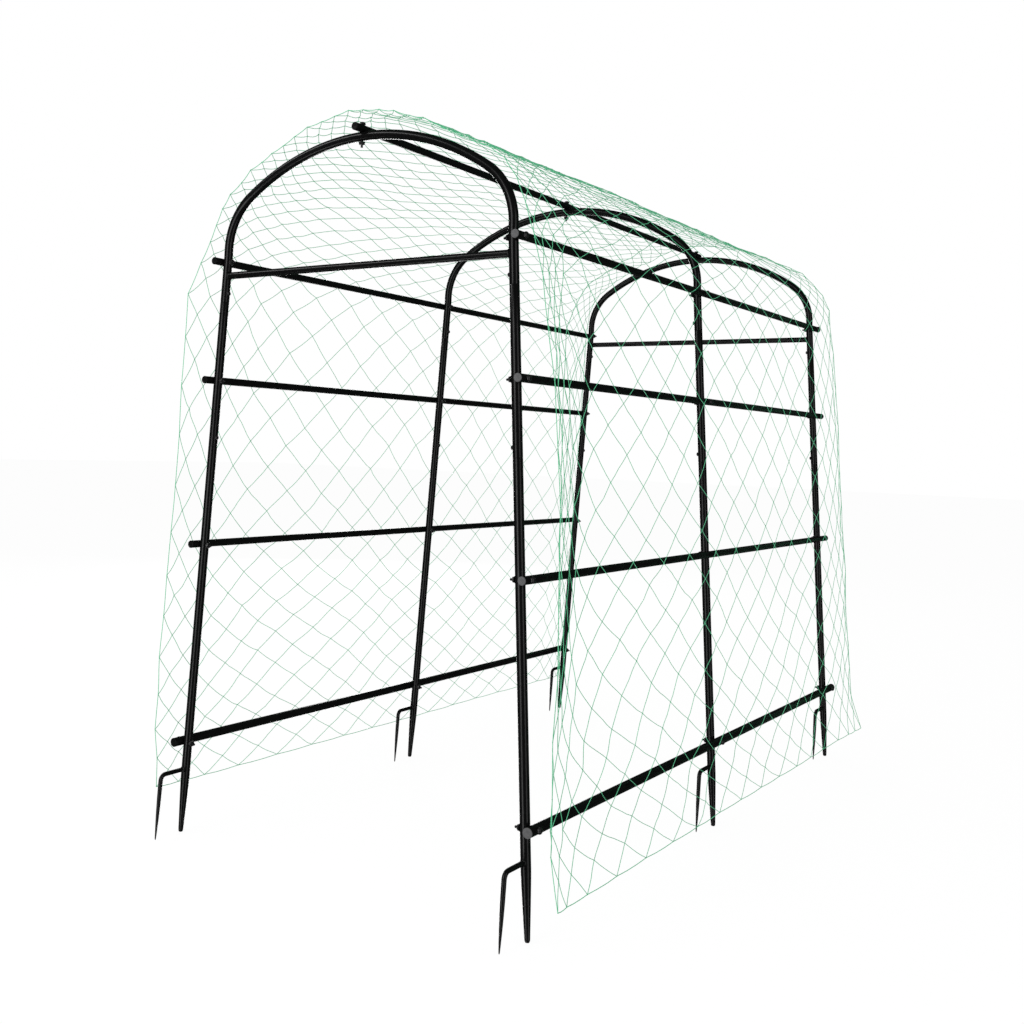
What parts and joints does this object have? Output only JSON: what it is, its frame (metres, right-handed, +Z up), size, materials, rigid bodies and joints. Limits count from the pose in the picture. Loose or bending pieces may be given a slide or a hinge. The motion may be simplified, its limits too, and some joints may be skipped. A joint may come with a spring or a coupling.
{
  "type": "garden trellis",
  "caption": "Tunnel-shaped garden trellis: bent-tube hoops on pronged feet, rails bolted along the outside, and a diamond plant net over roof and sides.",
  "frame": {"origin": "on the ground under the middle of the tunnel, at the centre of the bounding box's bottom", "axes": "+X to the right across the tunnel, +Y along the tunnel from the front hoop to the rear hoop, +Z up"},
  "size_m": [1.2865, 2.4355, 2.0028],
  "materials": {
    "tube_black": "satin black powder coat",
    "bolt_black": "black zinc plate",
    "net_green": "knotted polyester cord"
  },
  "bodies": {
    "root": {"front_arch": "tube_black", "front_left_upper_leg": "tube_black", "front_left_lower_leg": "tube_black", "front_right_upper_leg": "tube_black", "front_right_lower_leg": "tube_black", "middle_arch": "tube_black", "middle_left_upper_leg": "tube_black", "middle_left_lower_leg": "tube_black", "middle_right_upper_leg": "tube_black", "middle_right_lower_leg": "tube_black", "rear_arch": "tube_black", "rear_left_upper_leg": "tube_black", "rear_left_lower_leg": "tube_black", "rear_right_upper_leg": "tube_black", "rear_right_lower_leg": "tube_black", "front_crossbar": "tube_black", "rear_crossbar": "tube_black", "ridge_rail": "tube_black", "left_bottom_rail": "tube_black", "left_middle_rail": "tube_black", "left_upper_rail": "tube_black", "left_shoulder_rail": "tube_black", "right_bottom_rail": "tube_black", "right_middle_rail": "tube_black", "right_upper_rail": "tube_black", "right_shoulder_rail": "tube_black", "front_ridge_bolt": "bolt_black", "front_left_bottom_bolt": "bolt_black", "front_left_middle_bolt": "bolt_black", "front_left_upper_bolt": "bolt_black", "front_left_shoulder_bolt": "bolt_black", "front_right_bottom_bolt": "bolt_black", "front_right_middle_bolt": "bolt_black", "front_right_upper_bolt": "bolt_black", "front_right_shoulder_bolt": "bolt_black", "middle_ridge_bolt": "bolt_black", "middle_left_bottom_bolt": "bolt_black", "middle_left_middle_bolt": "bolt_black", "middle_left_upper_bolt": "bolt_black", "middle_left_shoulder_bolt": "bolt_black", "middle_right_bottom_bolt": "bolt_black", "middle_right_middle_bolt": "bolt_black", "middle_right_upper_bolt": "bolt_black", "middle_right_shoulder_bolt": "bolt_black", "rear_ridge_bolt": "bolt_black", "rear_left_bottom_bolt": "bolt_black", "rear_left_middle_bolt": "bolt_black", "rear_left_upper_bolt": "bolt_black", "rear_left_shoulder_bolt": "bolt_black", "rear_right_bottom_bolt": "bolt_black", "rear_right_middle_bolt": "bolt_black", "rear_right_upper_bolt": "bolt_black", "rear_right_shoulder_bolt": "bolt_black", "net_left_wall": "net_green", "net_left_shoulder": "net_green", "net_left_crown": "net_green", "net_right_wall": "net_green", "net_right_shoulder": "net_green", "net_right_crown": "net_green"}
  },
  "joints": []
}
